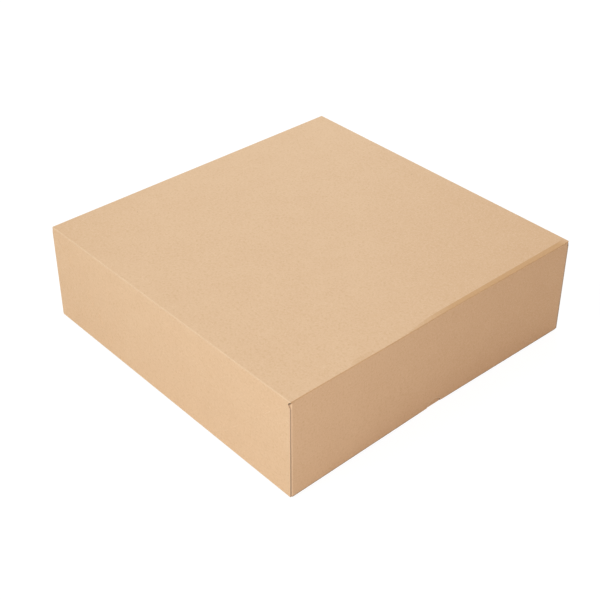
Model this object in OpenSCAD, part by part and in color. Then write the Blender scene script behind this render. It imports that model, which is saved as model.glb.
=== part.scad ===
// Square two-piece carton, closed: a lid as deep as the box slides down over a tray.
// Each of the two is one sheet of thin corrugated board, creased, folded up and glued at its four corners.
// The origin is the middle of the footprint, on the surface that the box stands on. Z points up.
// X runs across the two plain walls, which have the thumb notches, and Y across the two creased walls.

/* [Lid] */
// Outside width of the lid, across its plain walls
lid_width = 344; // [260:1:420]
// Outside length of the lid, across its creased walls
lid_length = 349; // [260:1:420]
// Outside depth of the lid, from its top to its rim
lid_depth = 102.4; // [80:0.2:130]
// Height of the lid's rim above the surface
rim_height = 2.2; // [1:0.1:2.8]

/* [Board] */
// Thickness of the corrugated board
board = 1.4; // [1.2:0.1:2]
// Outside radius of a fold
fold_outer = 0.8; // [0.6:0.1:1.2]
// Inside radius of a fold of the top
fold_inner = 0.3; // [0.2:0.1:0.6]

/* [Fit of the two trays] */
// Gap on each side where the lid comes nearest to the tray
slide_gap = 0.4; // [0.3:0.1:1.5]
// Further play at the left wall, as the sprung right wall pushes the lid across
left_play = 0.6; // [0:0.1:1.5]
// Gap under the lid's top where it sits on the tray's walls
seat_gap = 0.3; // [0.2:0.1:0.6]

/* [Glued corners] */
// Length of a glue tab, from its fold to its free end
tab_length = 38; // [20:1:50]
// Height of the gap between the diagonal crease and a tab's slanted edge
tab_to_crease = 1.5; // [1:0.5:5]
// How much shorter a tab gets towards its free end, at the rim
tab_taper = 3; // [1:0.5:6]
// Length that is clipped off each side of the top's corners
corner_clip = 1.1; // [0.6:0.1:2]
// Thickness of the top that is left over the relief cut at a corner
relief_to_top = 0.5; // [0.4:0.1:0.9]
// Height of the relief cut's upright edge, at its far end
relief_end = 1; // [0.4:0.2:2]
// Height of its slanted edge, from there down to the seam
relief_height = 3.6; // [2:0.2:6]
// Distance from a creased wall's cut edge to the corner, where the corner is glued up tight
tight_seam = 0.3; // [0.2:0.05:0.6]
// Distance from the corner to the far end of the relief cut there
tight_relief = 1; // [0.8:0.1:2]
// The same distance to the cut edge at the near right corner, which gapes
open_seam = 0.7; // [0.6:0.1:2]
// The same distance to the far end of its relief cut
open_relief = 2.8; // [2.1:0.1:5]

/* [Diagonal creases] */
// Length of one cut of the cut crease
cut_length = 10; // [6:1:12]
// Distance from one cut to the next, middle to middle
cut_pitch = 20; // [14:1:24]
// Width of a cut
cut_width = 0.8; // [0.4:0.1:1.2]
// Depth of a cut
cut_depth = 0.2; // [0.1:0.1:0.5]

/* [Thumb notches] */
// Radius of the round punch that cuts a notch
notch_radius = 9.5; // [7:0.5:14]
// Height of a notch above the lid's rim
notch_height = 6.4; // [4.8:0.2:9]

/* [Rolled fold of the right wall] */
// Distance from the wall to the line where the top starts to roll over
roll_width = 5.6; // [4:0.2:9]
// Drop of the rolled board at the fold
roll_drop = 0.6; // [0.2:0.1:1.6]
// How far the rolled board leans in at the fold
roll_lean = 1.4; // [0:0.1:1.8]
// Height over which the wall comes back from that lean
lean_height = 26; // [12:1:60]
// Where the roll starts, from the near corner
roll_start = 118; // [112:1:140]
// Length over which it grows to its full depth
roll_growth = 75; // [10:5:110]
// Length over which it ends at the far corner
roll_ending = 12; // [6:1:20]
// Where the short, shallow roll starts, from the near corner
short_start = 62; // [20:1:70]
// Length of the short roll
short_length = 38; // [26:1:42]
// Share of the full drop that the short roll has
short_share = 0.2; // [0.1:0.05:0.6]

/* [Sprung right wall] */
// How far the wall's rim springs in, at its notch
wall_spring = 2.4; // [0:0.2:4]

/* [Hidden] */
// Colour of the board
kraft = [0.88, 0.75, 0.6];
// A corner that turns by more than this angle is a fold, and is rounded
fold_angle = 45;
// Flat pieces of each fold's round
fold_steps = 4;
// Facets of a whole circle
circle_facets = 96;
// How far a cutting shape reaches past what it cuts
past = 1;
// Overlap of two stretches of board that are one piece or are glued together
joint_overlap = 0.05;
// Distance from the top to where a tab's slanted edge begins
tab_drop = board + tab_to_crease;
// Distance from the corner to the end of a plain wall, where its tab's fold begins
wall_end = 2 * board;
// Distance from the corner to where a wall starts to spring in
spring_inset = 3 * board;
// Length over which the short roll comes and goes
short_growth = 12;

// Height of the closed box
box_height = rim_height + lid_depth;
// How far the lid's underside hangs lower over the tray's right wall, where the fold is rolled
roll_over_base = max(0, roll_width - board - wall_spring - slide_gap) * roll_drop / (roll_width - roll_lean);
// The tray fits between the lid's plain walls, and between the tabs behind its creased walls
base_width = lid_width - 2 * (board + slide_gap) - left_play - wall_spring;
base_length = lid_length - 2 * (2 * board + slide_gap);
base_height = box_height - board - seat_gap - roll_over_base;
// How far the tray's middle is from the lid's: the sprung wall keeps it to the left, the play to the right
base_shift = (left_play - wall_spring) / 2;

// How strongly the right fold is rolled at each place along it, from 0 to 1
no_roll = [[-lid_length / 2, 0], [lid_length / 2, 0]];
lid_roll = [
    [-lid_length / 2, 0],
    [short_start - lid_length / 2, 0],
    [short_start + short_growth - lid_length / 2, short_share],
    [short_start + short_length - short_growth - lid_length / 2, short_share],
    [short_start + short_length - lid_length / 2, 0],
    [roll_start - lid_length / 2, 0],
    [roll_start + roll_growth - lid_length / 2, 1],
    [lid_length / 2 - roll_ending, 1],
    [lid_length / 2, 0]
];
// How far the wall leans and springs in at each place along it, from 0 to 1: nothing at its two corners
lid_spring = [
    [-lid_length / 2, 0],
    [spring_inset - lid_length / 2, 0],
    [-notch_radius, 1],
    [notch_radius, 1],
    [lid_length / 2 - spring_inset, 0],
    [lid_length / 2, 0]
];

// Values in rising order, each one once
function rising(values) = len(values) == 0 ? [] :
    let (first = values[0])
    concat(
        rising([for (v = values) if (v < first) v]),
        [first],
        rising([for (v = values) if (v > first) v])
    );

// A unit vector along the way from a to b, and one to the right of that way
function along(a, b) = (b - a) / norm(b - a);
function right_of(a, b) = [along(a, b).y, -along(a, b).x];

// The inner face of a sheet whose outer face follows the path
function inner_face(path, thickness) = [
    for (i = [0:len(path) - 1])
        let (
            before = i == 0 ? right_of(path[0], path[1]) : right_of(path[i - 1], path[i]),
            after = i == len(path) - 1 ? before : right_of(path[i], path[i + 1])
        )
        path[i] + thickness * (before + after) / (1 + before * after)
];

// A right-hand corner b on the way from a to c: an arc if the corner is a fold, else the corner itself
function fold(a, b, c, radius) =
    let (turn = acos(along(a, b) * along(b, c)))
    turn < fold_angle ? [b] :
    let (
        start = b - radius * tan(turn / 2) * along(a, b),
        out = -right_of(a, b),
        centre = start - radius * out
    )
    [
        for (i = [0:fold_steps])
            let (angle = turn * i / fold_steps)
            centre + radius * (cos(angle) * out + sin(angle) * along(a, b))
    ];

// A path with its folds rounded
function rounded(path, radius) =
    let (last = len(path) - 1)
    [
        path[0],
        for (i = [1:last - 1])
            each fold(path[i - 1], path[i], path[i + 1], radius),
        path[last]
    ];

// Outer face of a tray's section before its folds are rounded, from the left rim up, over the top at height 0
// and down to the right rim: first a plain section, then one whose right fold may be rolled
function plain_section(width, depth) = [
    [-width / 2, -depth],
    [-width / 2, 0],
    [width / 2, 0],
    [width / 2, -depth]
];
function rolled_section(width, depth, roll, spring) =
    let (edge = width / 2)
    [
        [-edge, -depth],
        [-edge, 0],
        [edge - roll_width, 0],
        [edge - roll * spring * roll_lean, -roll * roll_drop],
        [edge, -lean_height],
        [edge - spring * wall_spring, -depth]
    ];

// A path whose two end stretches are longer, so that what it bounds cuts right through the rims
function past_rims(path) =
    let (last = len(path) - 1)
    [
        for (i = [0:last])
            i == 0 ? path[i] - [0, past] :
            i == last ? path[i] + past * (path[i] - path[i - 1]) / norm(path[i] - path[i - 1]) :
            path[i]
    ];

// The space inside a section that changes along Y, with one outline at each place. The outlines bulge
// outwards all round, so a fan of triangles closes each end.
module loft(places, outlines) {
    count = len(outlines[0]);
    last = len(places) - 1;
    points = [
        for (j = [0:last])
            for (p = outlines[j])
                [p.x, places[j], p.y]
    ];
    sides = [
        for (j = [0:last - 1])
            for (i = [0:count - 1])
                let (
                    a = j * count + i,
                    b = j * count + (i + 1) % count
                )
                for (face = [[a, a + count, b], [b, a + count, b + count]])
                    face
    ];
    near_end = [for (i = [1:count - 2]) [0, i, i + 1]];
    far_end = [for (i = [1:count - 2]) [last * count, last * count + i + 1, last * count + i]];
    polyhedron(points, concat(sides, near_end, far_end));
}

// A section along the length, carried across the whole width
module across(width, path) {
    rotate([90, 0, 90])
        linear_extrude(width, center = true)
            polygon(path);
}

// Top and four walls of a tray whose open side is down: the space inside the sheet's outer face, less
// the space inside its inner face. The top is at height 0.
module shell(width, length, depth, roll, spring) {
    places = rising([for (row = concat(roll, spring)) row.x]);
    sections = [for (y = places) rolled_section(width, depth, lookup(y, roll), lookup(y, spring))];
    side = plain_section(length, depth);
    difference() {
        intersection() {
            loft(places, [for (path = sections) rounded(path, fold_outer)]);
            across(width + 2 * past, rounded(side, fold_outer));
        }
        intersection() {
            loft(places, [for (path = sections) rounded(past_rims(inner_face(path, board)), fold_inner)]);
            across(width + 2 * past, rounded(past_rims(inner_face(side, board)), fold_inner));
        }
    }
}

// The four corners of a tray: which way each lies along X and Y, how far its seam is from the corner, and
// how far its relief cut reaches. The near right corner may gape.
function corners(gapes) = [
    for (x = [-1, 1], y = [-1, 1])
        gapes && x > 0 && y < 0 ? [x, y, open_seam, open_relief] : [x, y, tight_seam, tight_relief]
];

// Puts a shape at a corner. The shape's own corner is at zero, and the tray lies towards negative X and Y.
module at_corner(corner, width, length) {
    translate([corner.x * width / 2, corner.y * length / 2, 0])
        mirror([corner.x < 0 ? 1 : 0, 0, 0])
            mirror([0, corner.y < 0 ? 1 : 0, 0])
                children();
}

// The gap in which the plain wall turns the corner
module turning_gap(seam, depth) {
    translate([-seam, -wall_end, -depth - past])
        cube([seam + past, wall_end + past, depth + past - board]);
}

// The relief cut in a creased wall: from the corner down along the diagonal crease, then back to the seam
module relief_cut(seam, reach) {
    translate([0, past, 0])
        rotate([90, 0, 0])
            linear_extrude(board + past)
                polygon([
                    [past, -relief_to_top],
                    [-relief_to_top, -relief_to_top],
                    [-reach, -reach],
                    [-reach, -reach - relief_end],
                    [-seam, -reach - relief_end - relief_height],
                    [past, -reach - relief_end - relief_height]
                ]);
}

// What is clipped off the tip of a corner, from the top down
module clipped_tip() {
    translate([0, 0, -board - past])
        linear_extrude(board + 2 * past)
            polygon([
                [-corner_clip - past, past],
                [past, -corner_clip - past],
                [past, past]
            ]);
}

// One diagonal cut crease on a creased wall, from the corner of the top down to the rim
module diagonal_cuts(depth) {
    run = depth * sqrt(2);
    for (middle = [cut_pitch:cut_pitch:run - cut_length])
        rotate([0, 45, 0])
            translate([-cut_width / 2, -cut_depth, -middle - cut_length / 2])
                cube([cut_width, cut_depth + past, cut_length]);
}

// The plain wall's fold at a corner and its glue tab behind the creased wall, seen from above
module tab_plan() {
    difference() {
        union() {
            translate([-board, -wall_end - joint_overlap])
                square([board, wall_end - board + joint_overlap]);
            translate([-board - tab_length, -wall_end])
                square([board + tab_length, wall_end - board + joint_overlap]);
        }
        translate([-fold_outer, -board - fold_outer])
            difference() {
                square(fold_outer + past);
                circle(fold_outer, $fn = circle_facets);
            }
    }
}

// The glue tab, with its slanted edge under the diagonal crease and a tapered lower edge. Its fold starts
// lower than the wall that it belongs to.
module tab(depth) {
    end = board + tab_length + past;
    difference() {
        translate([0, 0, -depth])
            linear_extrude(depth - board + joint_overlap)
                tab_plan();
        translate([-board, 0, 0])
            rotate([90, 0, 90])
                linear_extrude(board + past)
                    polygon([
                        [-wall_end, past],
                        [-wall_end, -board],
                        [-board, -tab_drop],
                        [past, -tab_drop],
                        [past, past]
                    ]);
        rotate([90, 0, 0])
            linear_extrude(wall_end + past)
                polygon([
                    [-board, past],
                    [-board, -tab_drop],
                    [-end, -end - tab_to_crease],
                    [-end, past]
                ]);
        rotate([90, 0, 0])
            linear_extrude(wall_end + past)
                polygon([
                    [-board, -depth],
                    [-end, tab_taper - depth],
                    [-end, -depth - past],
                    [-board, -depth - past]
                ]);
    }
}

// A whole tray with its open side down and its top at height 0
module tray(width, length, depth, roll, spring, gapes) {
    difference() {
        shell(width, length, depth, roll, spring);
        for (corner = corners(gapes))
            at_corner(corner, width, length) {
                turning_gap(corner[2], depth);
                relief_cut(corner[2], corner[3]);
                clipped_tip();
                diagonal_cuts(depth);
            }
    }
    for (corner = corners(gapes))
        at_corner(corner, width, length)
            tab(depth);
}

// The lid, with a thumb notch in the rim of each plain wall
module lid() {
    color(kraft)
        difference() {
            translate([0, 0, box_height])
                tray(lid_width, lid_length, lid_depth, lid_roll, lid_spring, true);
            translate([0, 0, rim_height + notch_height - notch_radius])
                rotate([0, 90, 0])
                    cylinder(h = lid_width + 2 * past, r = notch_radius, center = true, $fn = circle_facets);
        }
}

// The tray under the lid: the same folded sheet with its open side up
module base() {
    color(kraft)
        translate([base_shift, 0, 0])
            rotate([180, 0, 0])
                tray(base_width, base_length, base_height, no_roll, no_roll, false);
}

lid();
base();
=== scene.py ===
# Closed kraft carton: a full-depth lid over a tray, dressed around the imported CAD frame
# Left and right are minus and plus X, near and far are minus and plus Y
import math
import bpy
from mathutils import Euler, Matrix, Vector


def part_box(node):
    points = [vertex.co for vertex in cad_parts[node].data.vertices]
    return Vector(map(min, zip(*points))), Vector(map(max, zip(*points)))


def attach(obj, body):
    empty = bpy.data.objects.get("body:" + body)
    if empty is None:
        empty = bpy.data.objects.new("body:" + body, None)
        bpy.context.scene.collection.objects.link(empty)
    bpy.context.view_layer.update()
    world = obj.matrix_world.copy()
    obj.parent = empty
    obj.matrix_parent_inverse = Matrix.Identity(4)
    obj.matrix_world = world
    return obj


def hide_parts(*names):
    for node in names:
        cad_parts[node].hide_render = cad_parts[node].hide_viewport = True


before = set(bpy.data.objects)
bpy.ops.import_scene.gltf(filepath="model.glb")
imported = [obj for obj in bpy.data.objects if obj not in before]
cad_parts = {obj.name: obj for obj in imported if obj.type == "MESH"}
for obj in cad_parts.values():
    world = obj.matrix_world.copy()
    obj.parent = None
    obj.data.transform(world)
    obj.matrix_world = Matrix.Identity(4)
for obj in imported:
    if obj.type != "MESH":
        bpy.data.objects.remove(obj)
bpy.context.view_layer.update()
mm = 0.001
bpy.ops.object.select_all(action="DESELECT")


def linear(hexCode):  # sRGB hex to linear colour
    parts = [int(hexCode[i:i + 2], 16) / 255 for i in (1, 3, 5)]
    return [c / 12.92 if c <= 0.04045 else ((c + 0.055) / 1.055) ** 2.4 for c in parts] + [1]


def addNode(tree, kind, settings=None, links=None):
    # settings are properties or socket values, links are socket: source socket
    node = tree.nodes.new(kind)
    for name, value in (settings or {}).items():
        if isinstance(name, str) and hasattr(node, name):
            setattr(node, name, value)
        else:
            node.inputs[name].default_value = value
    for name, source in (links or {}).items():
        tree.links.new(source, node.inputs[name])
    return node


def newMaterial(name):
    material = bpy.data.materials.new(name)
    material.use_nodes = True
    material.node_tree.nodes.clear()
    return material, material.node_tree


def noise(tree, here, pattern):
    texture = {"Scale": 1 / pattern["size"], "Detail": pattern["detail"], "Roughness": pattern["roughness"],
               "Distortion": pattern["distortion"]}
    return addNode(tree, "ShaderNodeTexNoise", texture, {"Vector": here}).outputs[0]


def ramp(tree, source, band):  # 0 at the band's start, and its most at its end
    ends = {"From Min": band["start"], "From Max": band["end"], "To Min": 0, "To Max": band["most"]}
    return addNode(tree, "ShaderNodeMapRange", ends, {0: source}).outputs[0]


def reckon(tree, operation, first, second=0):  # second is a number or a socket
    if isinstance(second, (int, float)):
        return addNode(tree, "ShaderNodeMath", {"operation": operation, 1: second}, {0: first}).outputs[0]
    return addNode(tree, "ShaderNodeMath", {"operation": operation}, {0: first, 1: second}).outputs[0]


def paint(tree, under, hexCode, share, blend="MIX"):  # lays a colour over the one under it
    colours = {"data_type": "RGBA", "blend_type": blend, 7: linear(hexCode)}
    return addNode(tree, "ShaderNodeMix", colours, {0: share, 6: under}).outputs[2]


def tone(tree, name):  # a tone written on the mesh, from 0 to 1
    return addNode(tree, "ShaderNodeAttribute", {"attribute_name": name}).outputs["Fac"]


def activate(piece):
    bpy.ops.object.select_all(action="DESELECT")
    piece.select_set(True)
    bpy.context.view_layer.objects.active = piece


# Kraft liner: unbleached machine-made paper, uncoated. The eye sees a matt warm brown with a cloudy
# formation, a fine mottle of light and dark fibres, a few specks and the faint washboard of the flutes under
# it. Folds, corners, crease cuts and notch edges are painted lighter, part wear and part painted highlight;
# the right fold and the strip beside it are painted darker as shade, and the tray's foot under the right wall
# is painted darker as shadow. A band is strongest at its end.
liner = {
    "colour": "#e3c09a",
    "toned": "#dab48c",
    "farRightToning": {"start": 60 * mm, "end": 346 * mm, "most": 1},
    "nearLeftToning": {"start": -230 * mm, "end": -346 * mm, "most": 0.5},
    "cloud": {"size": 24 * mm, "detail": 3, "roughness": 0.5, "distortion": 0,
              "colour": "#f8f4f0", "start": 0.35, "end": 0.65, "most": 0.3},
    "grain": {"size": 1 * mm, "detail": 3, "roughness": 0.65, "distortion": 0.8,
              "colour": "#f0d1b3", "start": 0.45, "end": 0.8, "most": 0.85},
    "mottle": {"size": 2 * mm, "detail": 3, "roughness": 0.6, "distortion": 0,
               "colour": "#c8a06c", "start": 0.5, "end": 0.85, "most": 0.55},
    "speck": {"spacing": 7 * mm, "radius": 0.07, "rarity": 0.985, "strength": 0.6, "colour": "#8a6440"},
    "punchHeight": -0.9 * mm,
    "notchEdgeHighlight": {"start": 10.6 * mm, "end": 9.6 * mm, "most": 0.6},
    # lighter on folds, corners, crease cuts and notch edges: part wear, part painted highlight
    "rubAndHighlight": "#f3dcc0",
    # painted shade on the right fold and the strip beside it
    "rightFoldShade": "#c89b67",
    # this colour and the band below it: painted shadow on the tray's foot under the right wall
    "footShadowColour": "#6f5a45",
    "paintedFootShadow": {"start": 3.4 * mm, "end": 2.2 * mm, "most": 0.75},
    "besideNotch": {"start": 10 * mm, "end": 24 * mm, "most": 1},
    "plainWall": 0.7,
    "flutePitch": 3.4 * mm,
    "fluteHeight": 0.014 * mm,
    "grainHeight": 0.03 * mm,
    "roughness": 0.84,
    "ior": 1.45,
}


def linerColour(tree, here, point, facing, grain):
    # the sheet is a shade deeper towards its far right corner, and a little towards its near left one
    outwards = addNode(tree, "ShaderNodeVectorMath", {"operation": "DOT_PRODUCT", 1: (1, 1, 0)}, {0: here})
    farRight = ramp(tree, outwards.outputs["Value"], liner["farRightToning"])
    nearLeft = ramp(tree, outwards.outputs["Value"], liner["nearLeftToning"])
    toning = reckon(tree, "MAXIMUM", farRight, nearLeft)
    ends = {"data_type": "RGBA", 6: linear(liner["colour"]), 7: linear(liner["toned"])}
    colour = addNode(tree, "ShaderNodeMix", ends, {0: toning}).outputs[2]

    # clouds, then light and dark fibres
    cloud = noise(tree, here, liner["cloud"])
    mottle = noise(tree, here, liner["mottle"])
    colour = paint(tree, colour, liner["cloud"]["colour"], ramp(tree, cloud, liner["cloud"]), "MULTIPLY")
    colour = paint(tree, colour, liner["grain"]["colour"], ramp(tree, grain, liner["grain"]))
    colour = paint(tree, colour, liner["mottle"]["colour"], ramp(tree, mottle, liner["mottle"]))

    # a speck in a few of the cells
    speck = liner["speck"]
    cells = addNode(tree, "ShaderNodeTexVoronoi", {"Scale": 1 / speck["spacing"], "Randomness": 1},
                    {"Vector": here})
    chosen = addNode(tree, "ShaderNodeSeparateColor", links={0: cells.outputs["Color"]})
    small = reckon(tree, "LESS_THAN", cells.outputs["Distance"], speck["radius"])
    rare = reckon(tree, "GREATER_THAN", chosen.outputs[0], speck["rarity"])
    faint = reckon(tree, "MULTIPLY", reckon(tree, "MULTIPLY", small, rare), speck["strength"])
    colour = paint(tree, colour, speck["colour"], faint)

    # a painted highlight round the edge of each notch, in the same lighter colour as the folds
    inWall = addNode(tree, "ShaderNodeCombineXYZ", links={"Y": point.outputs["Y"], "Z": point.outputs["Z"]})
    punch = {"operation": "DISTANCE", 1: (0, 0, liner["punchHeight"])}
    fromPunch = addNode(tree, "ShaderNodeVectorMath", punch, {0: inWall.outputs[0]})
    ring = ramp(tree, fromPunch.outputs["Value"], liner["notchEdgeHighlight"])
    notchHighlightShare = reckon(tree, "MULTIPLY", ring, tone(tree, "punched"))
    colour = paint(tree, colour, liner["rubAndHighlight"], reckon(tree, "MAXIMUM", notchHighlightShare, tone(tree, "rubAndHighlight")))
    colour = paint(tree, colour, liner["rightFoldShade"], tone(tree, "rightFoldShade"))

    # painted shadow on the tray's foot on the right, clear of the notch
    atFoot = ramp(tree, point.outputs["Z"], liner["paintedFootShadow"])
    besideNotch = ramp(tree, reckon(tree, "ABSOLUTE", point.outputs["Y"]), liner["besideNotch"])
    toTheRight = reckon(tree, "MAXIMUM", facing.outputs["X"], 0)
    paintedFootShadow = reckon(tree, "MULTIPLY", reckon(tree, "MULTIPLY", atFoot, besideNotch), toTheRight)
    return paint(tree, colour, liner["footShadowColour"], paintedFootShadow)


def linerRelief(tree, point, facing, grain):
    # the flutes run along Y on the top and on the plain walls, and down the creased walls
    steepness = reckon(tree, "ABSOLUTE", facing.outputs["X"])
    onPlainWall = reckon(tree, "GREATER_THAN", steepness, liner["plainWall"])
    across = addNode(tree, "ShaderNodeMix", {"data_type": "FLOAT"},
                     {0: onPlainWall, 2: point.outputs["X"], 3: point.outputs["Z"]})
    acrossFlutes = addNode(tree, "ShaderNodeCombineXYZ", links={"X": across.outputs[0]})
    # at scale 1 the wave's bands are pi / 10 apart
    bands = {"wave_type": "BANDS", "bands_direction": "X", "Scale": math.pi / 10 / liner["flutePitch"],
             "Distortion": 0}
    washboard = addNode(tree, "ShaderNodeTexWave", bands, {"Vector": acrossFlutes.outputs[0]})
    flutes = addNode(tree, "ShaderNodeBump", {"Strength": 1, "Distance": liner["fluteHeight"]},
                     {"Height": washboard.outputs["Fac"]})
    rough = addNode(tree, "ShaderNodeBump", {"Strength": 1, "Distance": liner["grainHeight"]},
                    {"Height": grain, "Normal": flutes.outputs[0]})
    return rough.outputs[0]


def kraftLiner():
    material, tree = newMaterial("kraft_liner")
    coordinates = addNode(tree, "ShaderNodeTexCoord")
    here = coordinates.outputs["Object"]
    point = addNode(tree, "ShaderNodeSeparateXYZ", links={0: here})
    facing = addNode(tree, "ShaderNodeSeparateXYZ", links={0: coordinates.outputs["Normal"]})
    grain = noise(tree, here, liner["grain"])
    colour = linerColour(tree, here, point, facing, grain)
    relief = linerRelief(tree, point, facing, grain)
    finish = {"Roughness": liner["roughness"], "IOR": liner["ior"]}
    surface = addNode(tree, "ShaderNodeBsdfPrincipled", finish, {"Base Color": colour, "Normal": relief})
    addNode(tree, "ShaderNodeOutputMaterial", links={0: surface.outputs[0]})
    return material


# Cut edge of the board: raw paper fibre. The eye sees it a little deeper, greyer and rougher than the liner,
# with painted shade, dark brown, deep in the corners' relief holes, at the notches' ends and down each seam's
# foot.
cutEdge = {
    "colour": "#d4baa0",
    "deep": "#b99d82",
    # painted shade deep in the relief holes, at the notches' ends and down each seam
    "shaded": "#3a2a1d",
    "roughness": 0.95,
    "fibre": {"size": 0.8 * mm, "detail": 3, "roughness": 0.5, "distortion": 0},
    "fibreHeight": 0.06 * mm,
}


def cutBoard():
    material, tree = newMaterial("cut_board_edge")
    here = addNode(tree, "ShaderNodeTexCoord").outputs["Object"]
    fibre = noise(tree, here, cutEdge["fibre"])
    ends = {"data_type": "RGBA", 6: linear(cutEdge["colour"]), 7: linear(cutEdge["deep"])}
    raw = addNode(tree, "ShaderNodeMix", ends, {0: fibre}).outputs[2]
    colour = paint(tree, raw, cutEdge["shaded"], tone(tree, "shaded"))
    rough = addNode(tree, "ShaderNodeBump", {"Strength": 1, "Distance": cutEdge["fibreHeight"]},
                    {"Height": fibre})
    surface = addNode(tree, "ShaderNodeBsdfPrincipled", {"Roughness": cutEdge["roughness"]},
                      {"Base Color": colour, "Normal": rough.outputs[0]})
    addNode(tree, "ShaderNodeOutputMaterial", links={0: surface.outputs[0]})
    return material


linerFinish = kraftLiner()
edgeFinish = cutBoard()
print("materials made")


# The two folded sheets, each a copy of its CAD node with softened edges. The rub and painted highlight, the
# painted shade by the right fold, the painted shade in the holes, notches and seams, and where the notches
# are punched are written on the faces, from 0 to 1.
sheet = {
    "weld": 0.001 * mm,
    "flatAngle": 0.4,
    "softening": 0.12 * mm,
    "softenedSteps": 2,
    "sharpAngle": 5,
    "smoothAngle": 35,
}


def foldedSheet(nodeName, pieceName):
    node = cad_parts[nodeName]
    piece = node.copy()
    piece.data = node.data.copy()
    piece.name = pieceName
    bpy.context.collection.objects.link(piece)
    activate(piece)
    bpy.ops.object.mode_set(mode="EDIT")
    bpy.ops.mesh.select_all(action="SELECT")
    bpy.ops.mesh.remove_doubles(threshold=sheet["weld"])
    bpy.ops.mesh.dissolve_limited(angle_limit=math.radians(sheet["flatAngle"]))
    bpy.ops.object.mode_set(mode="OBJECT")
    softened = piece.modifiers.new("softened edges", "BEVEL")
    softened.width = sheet["softening"]
    softened.segments = sheet["softenedSteps"]
    softened.limit_method = "ANGLE"
    softened.angle_limit = math.radians(sheet["sharpAngle"])
    bpy.ops.object.modifier_apply(modifier=softened.name)
    bpy.ops.object.shade_smooth_by_angle(angle=math.radians(sheet["smoothAngle"]))
    weighted = piece.modifiers.new("flat faces stay flat", "WEIGHTED_NORMAL")
    weighted.keep_sharp = True
    bpy.ops.object.modifier_apply(modifier=weighted.name)
    piece.data.materials.clear()
    piece.data.materials.append(linerFinish)
    piece.data.materials.append(edgeFinish)
    return piece


def writeTone(piece, name, amount):
    layer = piece.data.attributes.new(name, "FLOAT", "CORNER")
    for face in piece.data.polygons:
        for loop in face.loop_indices:
            corner = piece.data.vertices[piece.data.loops[loop].vertex_index].co
            layer.data[loop].value = amount(face, corner)


low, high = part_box("lid")
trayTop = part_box("base")[1][2]

# How far in from the lid's box its folds and cuts reach, and half a notch's width
reach = {
    "rim": 0.2 * mm, "notchTop": 6.6 * mm, "notchDeep": 12 * mm, "notchHalf": 9.7 * mm,
    "seam": 1.5 * mm, "seamAlong": 8 * mm, "seamTop": 0.4 * mm,
    "topFold": 1.9 * mm, "sideFold": 0.9 * mm,
    "crease": 0.4 * mm, "creaseFloor": 0.3 * mm, "creaseTop": 4 * mm, "wallFace": 0.05 * mm,
}

# The parts of a face's normal, and the areas, that tell the faces apart
slope = {"rim": 0.3, "notch": 0.5, "seam": 0.4, "plainWall": 0.7, "foldLeast": 0.12, "foldMost": 0.99,
         "upright": 0.1, "turned": 0.001, "strip": 0.35, "rightFold": 0.995}
area = {"seam": 250 * mm ** 2, "crease": 12 * mm ** 2}


def inNotch(here):
    return here.z < low[2] + reach["notchTop"] and abs(here.y) < reach["notchHalf"]


def lidCut(face):  # the rim, the notches and the cut edges beside the glued corners
    here, way = face.center, face.normal
    rim = way.z < -slope["rim"] and here.z < low[2] + reach["rim"]
    notch = inNotch(here) and abs(here.x) > high[0] - reach["notchDeep"] and abs(way.x) < slope["notch"]
    nearSeam = abs(here.y) > high[1] - reach["seam"] and abs(here.x) > high[0] - reach["seamAlong"]
    narrow = abs(way.y) < slope["seam"] and face.area < area["seam"]
    seam = nearSeam and here.z < high[2] - reach["seamTop"] and narrow
    return rim or notch or seam


def baseCut(face):  # the rim
    return face.normal.z > slope["rim"] and face.center.z > trayTop - reach["rim"]


# How strongly each kind of fold is painted lighter, part wear and part painted highlight
rubHighlightStrength = {"fold": 0.25, "corner": 0.3, "cut": 0.3}


def lidRubAndHighlight(face, corner):  # lighter, part wear and part painted highlight: the folds of the top but the right one, the corners and the cuts of the creases
    here, way = face.center, face.normal
    besideTop = here.x < low[0] + reach["sideFold"] or abs(here.y) > high[1] - reach["sideFold"]
    sloping = slope["foldLeast"] < abs(way.z) < slope["foldMost"]
    if besideTop and here.z > high[2] - reach["topFold"] and sloping:
        return rubHighlightStrength["fold"]
    turning = slope["foldLeast"] < abs(way.x) < slope["foldMost"]
    if abs(here.x) > high[0] - reach["sideFold"] and abs(way.z) < slope["upright"] and turning:
        return rubHighlightStrength["corner"]
    if here.z >= high[2] - reach["creaseTop"]:
        return 0
    turned = abs(way.x) + abs(way.z) > slope["turned"]
    inCut = abs(here.y) > high[1] - reach["crease"] and face.area < area["crease"] and turned
    floorOfCut = high[1] - reach["creaseFloor"] < abs(here.y) < high[1] - reach["wallFace"]
    return rubHighlightStrength["cut"] if inCut or floorOfCut else 0


# The strip beside the right fold, painted darker as shade: how dark it is at places along Y, as listed
rightFoldShade = {
    "width": 5.5 * mm,
    "fold": 0.42,
    "places": [(-112.5 * mm, 0), (-100 * mm, 0.2), (-87 * mm, 0.2), (-74.5 * mm, 0), (-56.5 * mm, 0),
               (18.5 * mm, 0.65), (162.5 * mm, 0.65), (174.5 * mm, 0)],
}


def between(places, where):
    for (y1, t1), (y2, t2) in zip(places, places[1:]):
        if y1 <= where <= y2:
            return t1 + (t2 - t1) * (where - y1) / (y2 - y1)
    return 0


def lidRightFoldShade(face, corner):  # painted shade on the rolled strip of the top, and on the whole of the right fold
    here, way = face.center, face.normal
    away = here.x < high[0] - rightFoldShade["width"] or abs(here.y) > high[1] - reach["sideFold"]
    if away or here.z < high[2] - reach["topFold"]:
        return 0
    if 0 < way.x < slope["strip"]:
        return between(rightFoldShade["places"], corner.y)
    onFold = slope["strip"] <= way.x < slope["rightFold"] and way.z > 0
    return rightFoldShade["fold"] if onFold else 0


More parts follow.
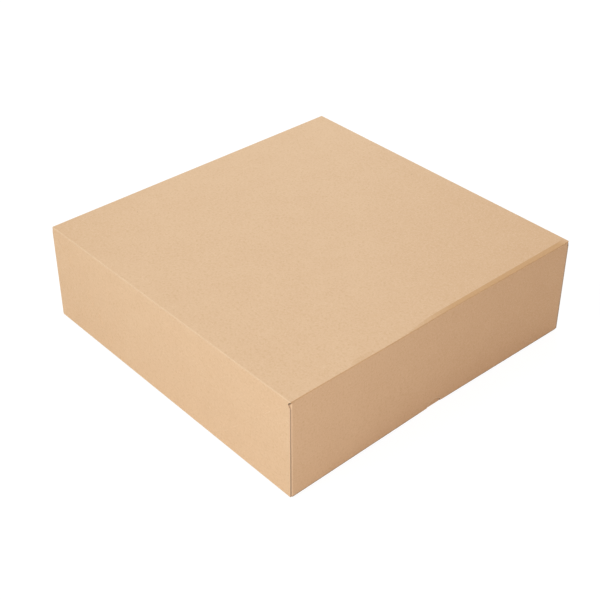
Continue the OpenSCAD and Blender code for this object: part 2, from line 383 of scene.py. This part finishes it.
# How dark the painted shade is at a notch's ends, in a relief hole and at the foot of a seam, and where the
# hole lies
shade = {
    "notchEnd": 0.5, "hole": 0.9, "seamFoot": 0.15,
    "holeTop": 0.6 * mm, "holeBottom": 4 * mm, "alongX": 4 * mm, "alongY": 1.6 * mm,
}


def lidShade(face, corner):  # painted shade at the notches' ends, deep in the relief holes, and a little down each seam
    here, way = face.center, face.normal
    if inNotch(here) and abs(way.x) < slope["notch"] < abs(way.y):
        return shade["notchEnd"]
    away = abs(here.x) < high[0] - shade["alongX"] or abs(here.y) < high[1] - shade["alongY"]
    if away or abs(way.y) > slope["seam"]:
        return 0
    if here.z > high[2] - shade["holeBottom"]:
        return shade["hole"] if here.z < high[2] - shade["holeTop"] else 0
    return shade["seamFoot"] * (high[2] - corner.z) / (high[2] - low[2])


def lidPunch(face, corner):  # the two plain walls, which have the notches
    return 1 if abs(face.normal.x) > slope["plainWall"] else 0


lid = foldedSheet("lid", "lid_board")
base = foldedSheet("base", "tray_board")
for piece, node, body, isCut in ((lid, "lid", "lid", lidCut), (base, "base", "base", baseCut)):
    for face in piece.data.polygons:
        face.material_index = 1 if isCut(face) else 0
    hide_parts(node)
    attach(piece, body)
for name, amount in (("rubAndHighlight", lidRubAndHighlight), ("rightFoldShade", lidRightFoldShade), ("shaded", lidShade), ("punched", lidPunch)):
    writeTone(lid, name, amount)
print("sheets made", len(lid.data.polygons), len(base.data.polygons))


# The camera of the photograph, fitted to the edges and corners that it shows
view = {
    "azimuth": 47.659, "elevation": 34.048, "roll": 0.357,
    "place": (713.6 * mm, -647.2 * mm, 719.9 * mm),
    "focalPixels": 1208.4, "imageWidth": 600, "middle": (311, 265),
    "sensor": 36, "clipStart": 50 * mm,
}


def addCamera():
    turn = (Euler((0, 0, math.radians(view["azimuth"]))).to_matrix()
            @ Euler((math.radians(90 - view["elevation"]), 0, 0)).to_matrix()
            @ Euler((0, 0, math.radians(view["roll"]))).to_matrix())
    bpy.ops.object.camera_add(location=view["place"], rotation=turn.to_euler())
    camera = bpy.context.object
    camera.data.sensor_width = view["sensor"]
    camera.data.lens = view["focalPixels"] * view["sensor"] / view["imageWidth"]
    camera.data.shift_x = (view["imageWidth"] / 2 - view["middle"][0]) / view["imageWidth"]
    camera.data.shift_y = (view["middle"][1] - view["imageWidth"] / 2) / view["imageWidth"]
    camera.data.clip_start = view["clipStart"]
    bpy.context.scene.camera = camera


# Soft lamps near white: a key high and far in front of the near creased wall, a weak warm fill low beyond the
# near right corner, and one high beyond the far left corner. The room's own light is even and warm.
light = {
    "lamps": {
        "key": {"place": (-0.6, -2.8, 2.6), "size": 1.5, "power": 70.5, "colour": (0.825, 0.955, 1.0)},
        "fill": {"place": (1.28, -1.02, 0.65), "size": 0.8, "power": 8.05, "colour": (1.0, 0.89, 0.79)},
        "behind": {"place": (-1.2, 1.5, 1.4), "size": 0.8, "power": 23.5, "colour": (0.845, 0.955, 1.0)},
    },
    "aim": (0.05, -0.1, 0.05),
    "roomColour": (1.0, 0.84, 0.76),
    "roomStrength": 0.39,
}


def seenRays(tree):  # 1 for rays from the camera, off a glossy face or through a clear one, and else 0
    path = addNode(tree, "ShaderNodeLightPath")
    seen = reckon(tree, "MAXIMUM", path.outputs["Is Camera Ray"], path.outputs["Is Glossy Ray"])
    return reckon(tree, "MAXIMUM", seen, path.outputs["Is Transmission Ray"])


def addLamps():
    for name, lamp in light["lamps"].items():
        bpy.ops.object.light_add(type="AREA", location=lamp["place"])
        made = bpy.context.object
        made.name = name
        way = Vector(light["aim"]) - Vector(lamp["place"])
        made.rotation_euler = way.to_track_quat("-Z", "Y").to_euler()
        made.data.shape = "DISK"
        made.data.size = lamp["size"]
        made.data.energy = lamp["power"]
        made.data.color = lamp["colour"]


def addRoom():
    world = bpy.data.worlds.new("room")
    bpy.context.scene.world = world
    world.use_nodes = True
    tree = world.node_tree
    tree.nodes.clear()
    room = addNode(tree, "ShaderNodeBackground",
                   {"Color": [*light["roomColour"], 1], "Strength": light["roomStrength"]})
    white = addNode(tree, "ShaderNodeBackground", {"Color": (1, 1, 1, 1), "Strength": 1})
    mix = addNode(tree, "ShaderNodeMixShader",
                  links={0: seenRays(tree), 1: room.outputs[0], 2: white.outputs[0]})
    addNode(tree, "ShaderNodeOutputWorld", links={0: mix.outputs[0]})


# White paper floor: the eye sees plain white with the faint shadow of the box on it. It lies just under the
# box, and throws less light back on the board than it shows.
floorSheet = {"size": 8, "drop": 0.05 * mm, "albedo": 0.75, "shown": 0.12, "glow": 0.945}


def addFloor():
    bpy.ops.mesh.primitive_plane_add(size=floorSheet["size"], location=(0, 0, -floorSheet["drop"]))
    floor = bpy.context.object
    floor.name = "floor"
    material, tree = newMaterial("white_paper_floor")
    plain = addNode(tree, "ShaderNodeBsdfDiffuse", {"Color": [floorSheet["albedo"]] * 3 + [1]})
    shown = addNode(tree, "ShaderNodeBsdfDiffuse", {"Color": [floorSheet["shown"]] * 3 + [1]})
    glow = addNode(tree, "ShaderNodeEmission", {"Color": (1, 1, 1, 1), "Strength": floorSheet["glow"]})
    bright = addNode(tree, "ShaderNodeAddShader", links={0: shown.outputs[0], 1: glow.outputs[0]})
    mix = addNode(tree, "ShaderNodeMixShader",
                  links={0: seenRays(tree), 1: plain.outputs[0], 2: bright.outputs[0]})
    addNode(tree, "ShaderNodeOutputMaterial", links={0: mix.outputs[0]})
    floor.data.materials.append(material)


addCamera()
addLamps()
addRoom()
addFloor()
bpy.context.scene.view_settings.view_transform = "Standard"
print("stage set")
